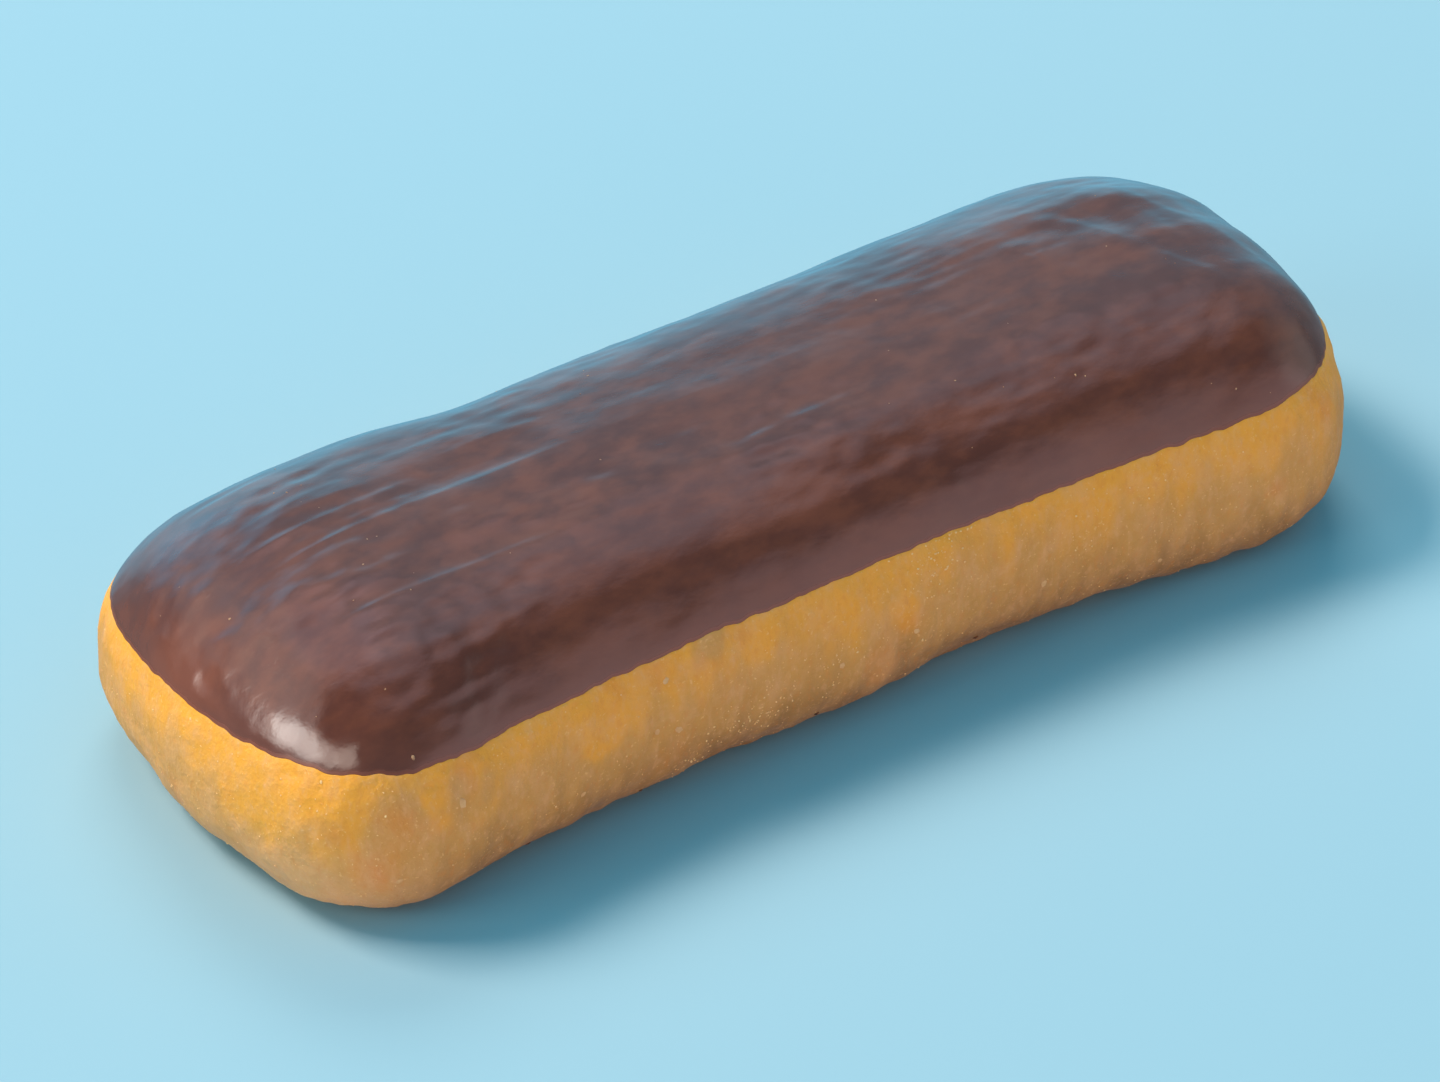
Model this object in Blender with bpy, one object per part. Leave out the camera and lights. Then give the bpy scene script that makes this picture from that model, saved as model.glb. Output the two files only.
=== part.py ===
# Long john doughnut: a bar of fried dough with chocolate icing over its top.
# Metres, +Z up, +X along the bar, near side at -Y. It rests on a flat foot at z = 0.

import bpy
import numpy as np

# Measures of the bar at five stations, given as shares of half its length
LENGTH = 0.165
STATIONS = (-0.8, -0.4, 0.0, 0.4, 0.8)
FAR_HALF_WIDTH = (0.0324, 0.0302, 0.0291, 0.0292, 0.0293)
NEAR_HALF_WIDTH = (0.0338, 0.0287, 0.0282, 0.0274, 0.0337)
HEIGHT = (0.0333, 0.0338, 0.0343, 0.0349, 0.0355)
FAR_EDGE_HEIGHT = (0.0213, 0.0226, 0.0200, 0.0222, 0.0214)
NEAR_EDGE_HEIGHT = (0.0220, 0.0218, 0.0222, 0.0218, 0.0237)
STATION_LIMIT = 0.93

# Plan of the two ends: how far each rounding reaches in, and how square it is
LEFT_END_REACH = 0.0320
RIGHT_END_REACH = 0.0382
LEFT_END_POWER = 2.85
RIGHT_END_POWER = 2.6

# Side profile: the widest level, the crown above it and the foot below it
BELLY_HEIGHT = 0.0097
CROWN_POWER = 2.55
FOOT_POWER = 2.0
FOOT_SHARE = 0.74
CREST_HALF_LENGTH = 0.053
CREST_SHARE = 0.04

# Icing skin, and the seat that the dough leaves for it
ICING_THICKNESS = 0.0011
ICING_GAP = 0.0003
LIP_WIDTH = 0.0013
LIP_STEPS = (0.12, 0.45)
SEAT_BELOW_EDGE = 0.0045
SEAT_ABOVE_EDGE = 0.0035

# Relief: sine waves of these heights and ranges of length, heading this way in plan
FOLD_HEIGHT = 0.00022
FOLD_LENGTHS = (0.010, 0.026)
FOLD_HEADINGS = (-70.0, 70.0)
RIDGE_HEIGHT = 0.00020
RIDGE_LENGTHS = (0.009, 0.017)
RIDGE_HEADINGS = (84.0, 96.0)
RIPPLE_HEIGHT = 0.00018
RIPPLE_LENGTHS = (0.014, 0.034)
RIPPLE_HEADINGS = (-50.0, 50.0)
RELIEF_FADE = 0.004
LUMP_FADE = 0.002
WAVES = 8
WAVE_BEND = 0.2
SEED = 31

# Single lumps and dents: place, radius and height
LUMPS = (
    ((-0.0020, -0.0235, 0.002), 0.009, 0.0003),
    ((0.0520, -0.0245, 0.002), 0.009, 0.0007),
    ((-0.0220, -0.0245, 0.002), 0.006, -0.0007),
    ((0.0150, -0.0230, 0.002), 0.007, -0.0009),
    ((-0.0280, 0.0240, 0.028), 0.008, -0.0007),
    ((-0.0420, 0.0250, 0.027), 0.008, 0.0005),
    ((-0.0620, 0.0265, 0.025), 0.007, -0.0006),
    ((-0.0790, 0.0210, 0.010), 0.009, 0.0003),
)

# Mesh steps
AROUND = 120
DOUGH_RINGS = 10
ICING_RINGS = 14
HIDDEN_RINGS = 7
TABLE_STEPS = 1441

HALF = LENGTH / 2
NOMINAL_HALF_WIDTH = 0.030


def clear_scene():
    for item in list(bpy.data.objects):
        bpy.data.objects.remove(item, do_unlink=True)


def smooth_step(t):
    t = np.clip(t, 0.0, 1.0)
    return t * t * (3.0 - 2.0 * t)


def soft_limit(value, limit):
    # The value itself near zero, levelling off at the limit without a corner
    sharpness = 12.0
    return value / (1.0 + np.abs(value / limit) ** sharpness) ** (1.0 / sharpness)


def along(values, x):
    # The smooth curve through the five measures, level towards the tips
    curve = np.polyfit(STATIONS, values, len(STATIONS) - 1)
    return np.polyval(curve, soft_limit(x / HALF, STATION_LIMIT))


def between_sides(near_values, far_values, x, side):
    # Measure that turns from its near curve to its far one as side goes from -1 to 1
    near, far = along(near_values, x), along(far_values, x)
    return near + (far - near) * 0.5 * (1.0 + side)


def way_along(*coordinates):
    # Length of a curve up to each of its points
    steps = np.sqrt(sum(np.diff(c) ** 2 for c in coordinates))
    return np.concatenate([[0.0], np.cumsum(steps)])


def plan(around):
    # Plan outline at a share of its way round, from the right tip over the far side.
    # The sides are straight and each end follows |x|^p + |y|^p = 1. Gives x and a side of -1 to 1.
    turn = np.linspace(0.0, np.pi / 2, TABLE_STEPS)
    right_x = HALF - RIGHT_END_REACH * (1.0 - np.cos(turn) ** (2.0 / RIGHT_END_POWER))
    left_x = -HALF + LEFT_END_REACH * (1.0 - np.cos(turn) ** (2.0 / LEFT_END_POWER))
    right_side = np.sin(turn) ** (2.0 / RIGHT_END_POWER)
    left_side = np.sin(turn) ** (2.0 / LEFT_END_POWER)
    x = np.concatenate([right_x, left_x[::-1]])
    side = np.concatenate([right_side, left_side[::-1]])
    way = way_along(x, NOMINAL_HALF_WIDTH * side)
    share = np.mod(around, 1.0)
    place = (1.0 - np.abs(1.0 - 2.0 * share)) * way[-1]
    return np.interp(place, way, x), np.where(share > 0.5, -1.0, 1.0) * np.interp(place, way, side)


def profile():
    # Side profile from the rim of the foot to the crest, as four curves over the way up:
    # that way, how far out (1 at the belly), the rise (-1 foot, 0 belly, 1 crest), the height.
    turn = np.linspace(-np.pi / 2, np.pi / 2, TABLE_STEPS)
    lift = np.abs(np.sin(turn))
    crown = turn > 0.0
    power = np.where(crown, CROWN_POWER, FOOT_POWER)
    bulge = np.cos(turn) ** (2.0 / power)
    reach = np.where(crown, bulge, FOOT_SHARE + (1.0 - FOOT_SHARE) * bulge)
    rise = np.sign(turn) * lift ** (2.0 / power)
    height = BELLY_HEIGHT + rise * np.where(crown, np.mean(HEIGHT) - BELLY_HEIGHT, BELLY_HEIGHT)
    return way_along(NOMINAL_HALF_WIDTH * reach, height), reach, rise, height


WAY, REACH, RISE, RISEN = profile()
WAY_UP = WAY[-1]
BELLY_LEVEL = np.interp(BELLY_HEIGHT, RISEN, WAY) / WAY_UP
CREST_LEVEL = np.interp(-CREST_SHARE, -REACH[TABLE_STEPS // 2:], WAY[TABLE_STEPS // 2:]) / WAY_UP


def bar(around, level):
    # Point of the plain bar: the plan outline drawn in to the crest line by the profile
    x, side = plan(around)
    reach = np.interp(level * WAY_UP, WAY, REACH)
    rise = np.interp(level * WAY_UP, WAY, RISE)
    y = reach * side * between_sides(NEAR_HALF_WIDTH, FAR_HALF_WIDTH, x, side)
    crest_x = soft_limit(x, CREST_HALF_LENGTH)
    x = crest_x + reach * (x - crest_x)
    top = np.where(rise > 0.0, along(HEIGHT, x) - BELLY_HEIGHT, BELLY_HEIGHT)
    return np.stack([x, y, BELLY_HEIGHT + rise * top], axis=-1)


def outward(around, level):
    # Unit normal of the plain bar, from the points a small step to each side
    step = 0.0015
    level = np.clip(level, step, 1.0 - step)
    across = bar(around + step, level) - bar(around - step, level)
    up = bar(around, level + step) - bar(around, level - step)
    normal = np.cross(across, up)
    return normal / np.linalg.norm(normal, axis=-1, keepdims=True)


def edge_level(around):
    # Level at which the icing ends, from its height at the stations
    x, side = plan(around)
    height = between_sides(NEAR_EDGE_HEIGHT, FAR_EDGE_HEIGHT, x, side)
    rise = (height - BELLY_HEIGHT) / (along(HEIGHT, x) - BELLY_HEIGHT)
    return np.interp(rise, RISE, WAY) / WAY_UP


def waves(point, height, lengths, headings, rng):
    # Sum of sine waves over the plan, each with its own length, heading, phase and slow bend
    total = 0.0
    for _ in range(WAVES):
        length = rng.uniform(*lengths)
        heading = np.radians(rng.uniform(*headings))
        phase, bend_phase = rng.uniform(0.0, 2.0 * np.pi, 2)
        across = point[..., 0] * np.cos(heading) + point[..., 1] * np.sin(heading)
        down = point[..., 1] * np.cos(heading) - point[..., 0] * np.sin(heading)
        bent = across / length + WAVE_BEND * np.sin(down / length + bend_phase)
        total = total + np.sin(2.0 * np.pi * bent + phase)
    return height * np.sqrt(2.0 / WAVES) * total


def lumps(point):
    total = 0.0
    for place, radius, height in LUMPS:
        distance = np.linalg.norm(point - np.array(place), axis=-1)
        total = total + height * np.exp(-((distance / radius) ** 2))
    return total


def folds(point):
    # Upright folds round the dough, none where it rests
    relief = waves(point, FOLD_HEIGHT, FOLD_LENGTHS, FOLD_HEADINGS, np.random.default_rng(SEED))
    return relief * smooth_step(point[..., 2] / RELIEF_FADE)


def ridges(point):
    # Long ridges that the spreading left in the icing, and broad ripples across them
    rng = np.random.default_rng(SEED + 1)
    long_ridges = waves(point, RIDGE_HEIGHT, RIDGE_LENGTHS, RIDGE_HEADINGS, rng)
    return long_ridges + waves(point, RIPPLE_HEIGHT, RIPPLE_LENGTHS, RIPPLE_HEADINGS, rng)


def over_edge(around, level):
    # Way up the profile from the edge of the icing
    return (level - edge_level(around)) * WAY_UP


def dough_surface(around, level):
    # The bar with its folds and lumps, sunk under the icing by the icing's thickness and gap
    point, over = bar(around, level), over_edge(around, level)
    sunk = smooth_step((over + SEAT_BELOW_EDGE) / (SEAT_BELOW_EDGE + SEAT_ABOVE_EDGE))
    bare = 1.0 - smooth_step(over / SEAT_ABOVE_EDGE)
    relief = lumps(point) * smooth_step(point[..., 2] / LUMP_FADE) + folds(point) * bare
    offset = relief - (ICING_THICKNESS + ICING_GAP) * sunk
    return point + outward(around, level) * offset[..., None]


def icing_underside(around, level):
    return dough_surface(around, level) + outward(around, level) * ICING_GAP


def icing_surface(around, level):
    # Outer face of the icing, which rounds down to the underside along its lip
    over = over_edge(around, level)
    lip = np.clip(over / LIP_WIDTH, 0.0, 1.0)
    thickness = ICING_THICKNESS * np.sqrt(1.0 - (1.0 - lip) ** 2)
    relief = ridges(bar(around, level)) * smooth_step(over / RELIEF_FADE)
    return icing_underside(around, level) + outward(around, level) * (thickness + relief)[..., None]


def strip_end(count):
    # Faces that shut a ring whose first half mirrors its second, as a strip along its middle
    faces = []
    for i in range(count // 2):
        corners = [i, i + 1, (-i - 1) % count, (-i) % count]
        faces.append(tuple(dict.fromkeys(corners)))
    return faces


def closed_skin(name, rings, flat_start, skin_material):
    # Mesh through rings of equal count, shut by a strip at its end and by that or one flat face at its start
    count, rows = len(rings[0]), len(rings)
    faces = []
    for row in range(rows - 1):
        low, high = row * count, (row + 1) * count
        for i in range(count):
            j = (i + 1) % count
            faces.append((low + i, low + j, high + j, high + i))
    start = [tuple(range(count))] if flat_start else strip_end(count)
    faces += [face[::-1] for face in start]
    faces += [tuple((rows - 1) * count + i for i in face) for face in strip_end(count)]
    mesh = bpy.data.meshes.new(name)
    mesh.from_pydata(np.concatenate(rings).tolist(), [], faces)
    mesh.shade_smooth()
    mesh.materials.append(skin_material)
    piece = bpy.data.objects.new(name, mesh)
    bpy.context.collection.objects.link(piece)


def food_material(name, colour, roughness):
    made = bpy.data.materials.new(name)
    made.use_nodes = True
    shader = made.node_tree.nodes["Principled BSDF"]
    shader.inputs["Base Color"].default_value = (*colour, 1.0)
    shader.inputs["Roughness"].default_value = roughness
    shader.inputs["Metallic"].default_value = 0.0
    made.diffuse_color = (*colour, 1.0)
    return made


def plan_centre():
    # Middle of the plain bar in plan, so that the origin stands under it
    belly = bar(np.linspace(0.0, 1.0, TABLE_STEPS), BELLY_LEVEL)
    middle = (belly.min(axis=0) + belly.max(axis=0)) / 2.0
    return np.array([middle[0], middle[1], 0.0])


def build():
    clear_scene()
    around = np.arange(AROUND) / AROUND
    edge, centre = edge_level(around), plan_centre()
    hidden = [edge + (CREST_LEVEL - edge) * share for share in np.linspace(0.0, 1.0, HIDDEN_RINGS + 1)]

    levels = [edge * share for share in np.linspace(0.0, 1.0, DOUGH_RINGS)] + hidden[1:]
    dough_rings = [dough_surface(around, level) - centre for level in levels]
    closed_skin("dough", dough_rings, True, food_material("fried_dough", (0.56, 0.30, 0.085), 0.6))

    lip_top = edge + LIP_WIDTH / WAY_UP
    levels = [edge + (lip_top - edge) * share for share in LIP_STEPS]
    levels += [lip_top + (CREST_LEVEL - lip_top) * share for share in np.linspace(0.0, 1.0, ICING_RINGS)]
    icing_rings = [icing_underside(around, level) - centre for level in hidden[::-1]]
    icing_rings += [icing_surface(around, level) - centre for level in levels]
    closed_skin("icing", icing_rings, False, food_material("chocolate_icing", (0.075, 0.024, 0.014), 0.28))


build()
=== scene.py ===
import math

import bpy
import numpy as np
from mathutils import Matrix, Vector


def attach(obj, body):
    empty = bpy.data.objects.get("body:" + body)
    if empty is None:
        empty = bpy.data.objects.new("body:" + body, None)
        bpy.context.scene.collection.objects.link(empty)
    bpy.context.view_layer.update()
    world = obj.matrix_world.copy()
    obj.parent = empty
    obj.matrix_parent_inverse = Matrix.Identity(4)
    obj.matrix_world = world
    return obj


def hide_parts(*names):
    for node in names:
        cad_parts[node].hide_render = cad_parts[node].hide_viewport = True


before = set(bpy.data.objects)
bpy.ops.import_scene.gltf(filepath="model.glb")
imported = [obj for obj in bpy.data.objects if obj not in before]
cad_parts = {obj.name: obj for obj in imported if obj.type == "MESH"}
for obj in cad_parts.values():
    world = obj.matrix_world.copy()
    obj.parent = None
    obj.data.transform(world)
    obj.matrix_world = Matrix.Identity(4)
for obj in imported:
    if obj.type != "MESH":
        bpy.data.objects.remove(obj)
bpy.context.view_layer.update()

scene = bpy.context.scene
scene.view_settings.view_transform = "Standard"
scene.view_settings.look = "None"
print("frame loaded:", sorted(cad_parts))


viewFrom = {
    "azimuth": 35.69,  # degrees round from straight on to the near side
    "elevation": 36.51,
    "roll": 1.46,
    "distance": 0.8,
    "aim": (-0.0047, -0.00136, 0.01264),
    "lens": 162.0,  # on a sensor 36 mm wide, for a picture of 1440 x 1082
}


def addCamera(view):
    # stands at aim + distance * back, and rolls about its own line of sight
    az, el, roll = (math.radians(view[key]) for key in ("azimuth", "elevation", "roll"))
    back = Vector((-math.sin(az) * math.cos(el), -math.cos(az) * math.cos(el), math.sin(el)))
    right = Vector((math.cos(az), -math.sin(az), 0.0))
    up = back.cross(right)
    turned = Matrix((right, up, back)).transposed().to_4x4() @ Matrix.Rotation(roll, 4, "Z")
    data = bpy.data.cameras.new("camera")
    data.sensor_fit, data.sensor_width, data.lens = "HORIZONTAL", 36.0, view["lens"]
    data.clip_start, data.clip_end = 0.05, 30.0
    camera = bpy.data.objects.new("camera", data)
    camera.matrix_world = Matrix.Translation(Vector(view["aim"]) + back * view["distance"]) @ turned
    scene.collection.objects.link(camera)
    scene.camera = camera


addCamera(viewFrom)
print("camera set")


def smoothStep(t):
    # 0 below 0, 1 above 1, and 3t^2 - 2t^3 between
    t = np.clip(t, 0.0, 1.0)
    return t * t * (3.0 - 2.0 * t)


def fadeIn(value, start, width):
    # smooth step from 0 at the start to 1 a width further on
    return smoothStep((value - start) / width)


def softLimit(value, limit):
    # value / (1 + |value / limit|^12)^(1/12): the value itself near zero, level at the limit
    return value / (1.0 + np.abs(value / limit) ** 12) ** (1.0 / 12)


def gradientNoise(point, size, seed):
    # each corner of a grid of cells holds a random slope, and the heights of the eight
    # slopes round a point are blended by 6t^5 - 15t^4 + 10t^3. About -1 to 1.
    rng = np.random.default_rng(seed)
    order = rng.permutation(256)
    slopes = rng.normal(size=(256, 3))
    slopes /= np.linalg.norm(slopes, axis=1, keepdims=True)
    place = point / np.asarray(size)
    cell = np.floor(place).astype(int)
    local = place - cell
    blend = local ** 3 * (local * (local * 6.0 - 15.0) + 10.0)
    total = 0.0
    for corner in np.ndindex(2, 2, 2):
        at = cell + corner
        index = order[(order[(order[at[..., 0] % 256] + at[..., 1]) % 256] + at[..., 2]) % 256]
        height = ((local - corner) * slopes[index]).sum(axis=-1)
        total = total + height * np.where(corner, blend, 1.0 - blend).prod(axis=-1)
    return total * 1.7


def layeredNoise(point, size, seed, layers=2, fall=0.5):
    # noise plus copies of half its size and a share of its height
    total, size = 0.0, np.asarray(size, float)
    for i in range(layers):
        total = total + fall ** i * gradientNoise(point, size / 2 ** i, seed + i)
    return total


# the plain bar has the measures of the CAD part
barForm = {
    "length": 0.165,
    "stations": (-0.8, -0.4, 0.0, 0.4, 0.8),  # shares of half the length
    "farHalfWidth": (0.0324, 0.0302, 0.0291, 0.0292, 0.0293),
    "nearHalfWidth": (0.0338, 0.0287, 0.0282, 0.0274, 0.0337),
    "height": (0.0333, 0.0338, 0.0343, 0.0349, 0.0355),
    "farEdgeHeight": (0.0213, 0.0226, 0.02, 0.0222, 0.0214),
    "nearEdgeHeight": (0.022, 0.0218, 0.0222, 0.0218, 0.0237),
    "stationLimit": 0.93,
    "leftEndReach": 0.032,
    "rightEndReach": 0.0382,
    "leftEndPower": 2.85,
    "rightEndPower": 2.6,
    "bellyHeight": 0.0097,
    "crownPower": 2.55,
    "footPower": 2.0,
    "footShare": 0.74,
    "crestHalfLength": 0.053,
    "crestShare": 0.04,
    "nominalHalfWidth": 0.03,
}
tableSteps = 1441  # points in the tables of outline and profile


def along(values, x):
    # the quartic through the five measures, level towards the tips
    curve = np.polyfit(barForm["stations"], values, 4)
    return np.polyval(curve, softLimit(2.0 * x / barForm["length"], barForm["stationLimit"]))


def betweenSides(nearValues, farValues, x, side):
    # the near value at side -1, the far one at side 1, and a straight blend between
    near, far = along(nearValues, x), along(farValues, x)
    return near + (far - near) * 0.5 * (1.0 + side)


def wayAlong(*coordinates):
    # length of the broken line up to each of its points
    steps = np.sqrt(sum(np.diff(c) ** 2 for c in coordinates))
    return np.concatenate([[0.0], np.cumsum(steps)])


def plan(around):
    # outline seen from above at a share of its way round, from the right tip over the far side:
    # straight sides, and ends that follow |x|^p + |y|^p = 1. Gives x and a side of -1 to 1.
    half, turn = barForm["length"] / 2, np.linspace(0.0, np.pi / 2, tableSteps)
    rightPower, leftPower = 2.0 / barForm["rightEndPower"], 2.0 / barForm["leftEndPower"]
    rightX = half - barForm["rightEndReach"] * (1.0 - np.cos(turn) ** rightPower)
    leftX = -half + barForm["leftEndReach"] * (1.0 - np.cos(turn) ** leftPower)
    x = np.concatenate([rightX, leftX[::-1]])
    side = np.concatenate([np.sin(turn) ** rightPower, (np.sin(turn) ** leftPower)[::-1]])
    way = wayAlong(x, barForm["nominalHalfWidth"] * side)
    share = np.mod(around, 1.0)
    place = (1.0 - np.abs(1.0 - 2.0 * share)) * way[-1]
    return np.interp(place, way, x), np.where(share > 0.5, -1.0, 1.0) * np.interp(place, way, side)


def profile():
    # side profile from foot to crest: |reach|^p + |rise|^p = 1 above the belly and below it
    belly, mean = barForm["bellyHeight"], np.mean(barForm["height"])
    turn = np.linspace(-np.pi / 2, np.pi / 2, tableSteps)
    crown = turn > 0.0
    power = np.where(crown, barForm["crownPower"], barForm["footPower"])
    bulge = np.cos(turn) ** (2.0 / power)
    foot = barForm["footShare"]
    reach = np.where(crown, bulge, foot + (1.0 - foot) * bulge)
    rise = np.sign(turn) * np.abs(np.sin(turn)) ** (2.0 / power)
    height = belly + rise * np.where(crown, mean - belly, belly)
    return wayAlong(barForm["nominalHalfWidth"] * reach, height), reach, rise, height


way, reachOfWay, riseOfWay, heightOfWay = profile()
wayUp = way[-1]
bellyLevel = np.interp(barForm["bellyHeight"], heightOfWay, way) / wayUp
crownHalf = slice(tableSteps // 2, None)
crestLevel = np.interp(-barForm["crestShare"], -reachOfWay[crownHalf], way[crownHalf]) / wayUp


def bar(around, level):
    # the outline drawn in to the crest line by the profile, and raised by it
    x, side = plan(around)
    reach = np.interp(level * wayUp, way, reachOfWay)
    rise = np.interp(level * wayUp, way, riseOfWay)
    y = reach * side * betweenSides(barForm["nearHalfWidth"], barForm["farHalfWidth"], x, side)
    crestX = softLimit(x, barForm["crestHalfLength"])
    x = crestX + reach * (x - crestX)
    belly = barForm["bellyHeight"]
    top = np.where(rise > 0.0, along(barForm["height"], x) - belly, belly)
    return np.stack([x, y, belly + rise * top], axis=-1)


def outward(around, level):
    # unit normal of the plain bar, from the points a small step to each side
    step = 0.0015
    level = np.clip(level, step, 1.0 - step)
    across = bar(around + step, level) - bar(around - step, level)
    up = bar(around, level + step) - bar(around, level - step)
    normal = np.cross(across, up)
    return normal / np.linalg.norm(normal, axis=-1, keepdims=True)


def waves(point, height, lengths, headings, rng):
    # eight sine waves over the plan, each with its own length, heading, phase and slow bend
    total = 0.0
    for _ in range(8):
        length = rng.uniform(*lengths)
        heading = np.radians(rng.uniform(*headings))
        phase, bendPhase = rng.uniform(0.0, 2.0 * np.pi, 2)
        across = point[..., 0] * np.cos(heading) + point[..., 1] * np.sin(heading)
        down = point[..., 1] * np.cos(heading) - point[..., 0] * np.sin(heading)
        bent = across / length + 0.2 * np.sin(down / length + bendPhase)
        total = total + np.sin(2.0 * np.pi * bent + phase)
    return height * 0.5 * total


# middle of the plain bar in plan, which stands over the origin
bellyRing = bar(np.linspace(0.0, 1.0, tableSteps), bellyLevel)
planCentre = (bellyRing.min(axis=0) + bellyRing.max(axis=0)) / 2.0 * (1.0, 1.0, 0.0)


doughForm = {
    "around": 860,
    "footRings": 8,
    "openRings": 92,
    "hiddenRings": 6,
    "folds": (0.00022, (0.01, 0.026), (-70.0, 70.0)),  # height, lengths and headings of the waves
    "lumps": (  # place, radius and height of the single lumps and dents, in mm
        (-2.0, -23.5, 2.0, 9.0, 0.3),
        (52.0, -24.5, 2.0, 9.0, 0.7),
        (-22.0, -24.5, 2.0, 6.0, -0.7),
        (15.0, -23.0, 2.0, 7.0, -0.9),
        (-28.0, 24.0, 28.0, 8.0, -0.7),
        (-42.0, 25.0, 27.0, 8.0, 0.5),
        (-62.0, 26.5, 25.0, 7.0, -0.6),
        (-79.0, 21.0, 10.0, 9.0, 0.3),
    ),
    "seatBelowEdge": 0.0004,
    "seatAboveEdge": 0.003,
    "foldFade": 0.008,  # way up under the icing over which the folds end
    "foldFoot": 0.004,  # heights over which folds, lumps and skin fade in above the flat foot
    "lumpFoot": 0.002,
    "skinFoot": 0.0012,
    "skinFade": 0.0018,
    "scallop": 0.00026,  # how far the icing's edge wanders up and down
    "nick": 0.00026,  # the same over shorter steps
    "uprightSize": (0.005, 0.005, 0.016),  # shallow upright dents
    "uprightHeight": 0.00026,
    "wrinkleSize": (0.0016, 0.0016, 0.003),
    "wrinkleHeight": 0.00006,
    "wrinklePatch": 0.007,
    "nearSide": (0.008, 0.016),  # where the near side's stronger wrinkles start, and their fade
    "pimpleSize": 0.0011,
    "pimpleHeight": 0.00009,
    "scaleSize": (0.0046, 0.0046, 0.0062),  # flat patches with soft steps round them
    "scaleHeight": 0.00009,
    "creases": (  # start, end, half width and height of single creases and ridges, in mm
        (-70.5, -27.6, 21.4, -65.5, -30.2, 19.9, 0.6, -0.35),
        (-66.5, -30.1, 20.5, -62.5, -30.3, 20.8, 0.5, 0.2),
        (-73.2, -27.2, 20.0, -73.7, -28.7, 16.0, 0.7, -0.12),
        (-55.2, -30.9, 13.4, -53.6, -30.7, 10.4, 0.9, -0.3),
        (-33.2, -28.5, 14.1, -33.0, -28.8, 11.2, 0.4, -0.18),
        (4.0, -28.0, 9.0, 7.8, -27.6, 5.8, 1.1, -0.45),
        (9.8, -27.7, 12.8, 9.2, -27.9, 8.8, 0.7, -0.16),
        (47.0, -28.6, 12.4, 49.8, -28.5, 9.8, 0.4, -0.16),
        (24.5, -27.2, 15.8, 26.2, -27.2, 10.8, 0.6, -0.14),
        (-21.5, -28.4, 14.2, -22.2, -28.5, 9.6, 0.5, -0.13),
    ),
    "underDepth": 0.00025,  # hollow of the underside
    "underLength": 0.72,  # length of the underside's middle line, as a share of the foot's
}

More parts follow.
